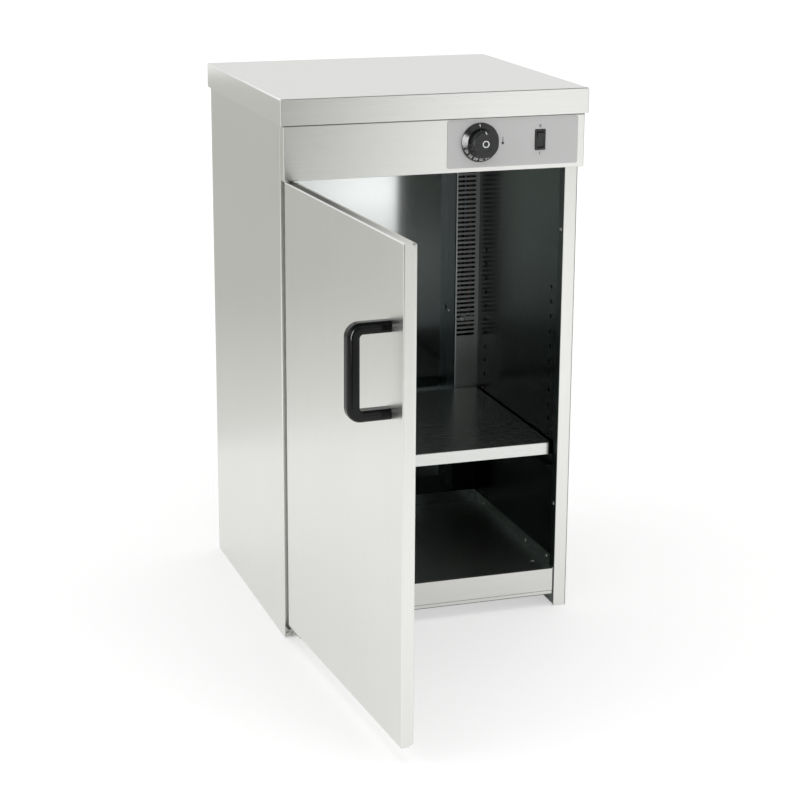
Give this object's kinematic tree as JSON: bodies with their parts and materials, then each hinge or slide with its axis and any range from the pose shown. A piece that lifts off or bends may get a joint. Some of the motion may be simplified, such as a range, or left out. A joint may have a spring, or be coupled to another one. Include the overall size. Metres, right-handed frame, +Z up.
{
  "type": "heated banquet cabinet",
  "caption": "Free-standing stainless plate-warming cabinet with a hinged insulated door, bridge handle, shelf on hooked rails, slotted heater duct and thermostat panel",
  "frame": {"origin": "on the floor, at mid-width, in the plane of the body's rear face", "axes": "X to the right seen from the front, Y to the back, Z up; the door side faces -Y"},
  "size_m": [0.5189, 0.9374, 0.855],
  "materials": {
    "stainless_sheet": "satin brushed",
    "steel_fastener": "bright",
    "zinc_steel": "zinc plated",
    "black_plastic": "gloss",
    "grey_plate": "satin print",
    "mineral_wool": "fibrous",
    "white_nylon": "matte",
    "grey_nylon": "matte",
    "heater_sheath": "heat tinted",
    "copper_tube": "drawn",
    "brown_resin": "moulded",
    "magnet": "matte",
    "brown_wire": "satin",
    "blue_wire": "satin",
    "green_wire": "satin"
  },
  "bodies": {
    "cabinet": {"back_insulation": "mineral_wool", "bottom_pan": "stainless_sheet", "bulb_clip": "steel_fastener", "cable_gland": "grey_nylon", "cap_nuts": "steel_fastener", "cavity_ceiling": "stainless_sheet", "control_plate": "grey_plate", "duct_screws": "steel_fastener", "earth_stud": "steel_fastener", "earth_wire": "green_wire", "fascia": "stainless_sheet", "fascia_screws": "steel_fastener", "front_header": "stainless_sheet", "gland_nut": "grey_nylon", "heater_bracket": "stainless_sheet", "heater_duct": "stainless_sheet", "heater_flange": "stainless_sheet", "heater_wires": "brown_wire", "heating_element": "heater_sheath", "hinge_bracket_screws": "steel_fastener", "hinge_pins": "zinc_steel", "hinge_washer": "white_nylon", "inner_back_wall": "stainless_sheet", "left_inner_wall": "stainless_sheet", "left_shelf_rail": "stainless_sheet", "left_side_skin": "stainless_sheet", "live_wires": "brown_wire", "lower_hinge_bracket": "zinc_steel", "magnetic_catch": "magnet", "neutral_wire": "blue_wire", "rear_floor_cover": "stainless_sheet", "rear_panel": "stainless_sheet", "rear_panel_screws": "steel_fastener", "right_inner_wall": "stainless_sheet", "right_shelf_rail": "stainless_sheet", "right_side_skin": "stainless_sheet", "side_insulation": "mineral_wool", "switch_housing": "black_plastic", "terminal_block": "white_nylon", "thermal_cutout": "brown_resin", "thermostat_body": "brown_resin", "thermostat_bulb": "copper_tube", "thermostat_screws": "steel_fastener", "top_cap": "stainless_sheet", "top_insulation": "mineral_wool", "upper_hinge_bracket": "zinc_steel", "wall_rivets": "steel_fastener"},
    "door": {"door_outer_pan": "stainless_sheet", "door_inner_panel": "stainless_sheet", "door_core": "mineral_wool", "door_hinge_blocks": "white_nylon", "strike_plate": "zinc_steel", "door_hinge_plate": "zinc_steel", "hinge_plate_screws": "steel_fastener", "door_handle": "black_plastic", "handle_screws": "steel_fastener"},
    "shelf_body": {"shelf": "stainless_sheet"},
    "knob": {"thermostat_knob": "black_plastic", "thermostat_shaft": "steel_fastener"},
    "rocker": {"switch_rocker": "black_plastic"}
  },
  "joints": [
    {"name": "door_hinge", "type": "hinge", "parent": "cabinet", "child": "door", "pos_m": [-0.232, -0.453, 0.378], "axis": [0, 0, 1], "range_deg": [-93.3, 86.7]},
    {"name": "thermostat_turn", "type": "hinge", "parent": "cabinet", "child": "knob", "pos_m": [0.068, -0.457, 0.7785], "axis": [0, 1, 0], "range_deg": [0, 270]},
    {"name": "switch_rock", "type": "hinge", "parent": "cabinet", "child": "rocker", "pos_m": [0.166, -0.4563, 0.7785], "axis": [-1, 0, 0], "range_deg": [0, 16]},
    {"name": "shelf_lift", "type": "slide", "parent": "cabinet", "child": "shelf_body", "axis": [0, 0, 1], "range_m": [0, 0.294]}
  ]
}
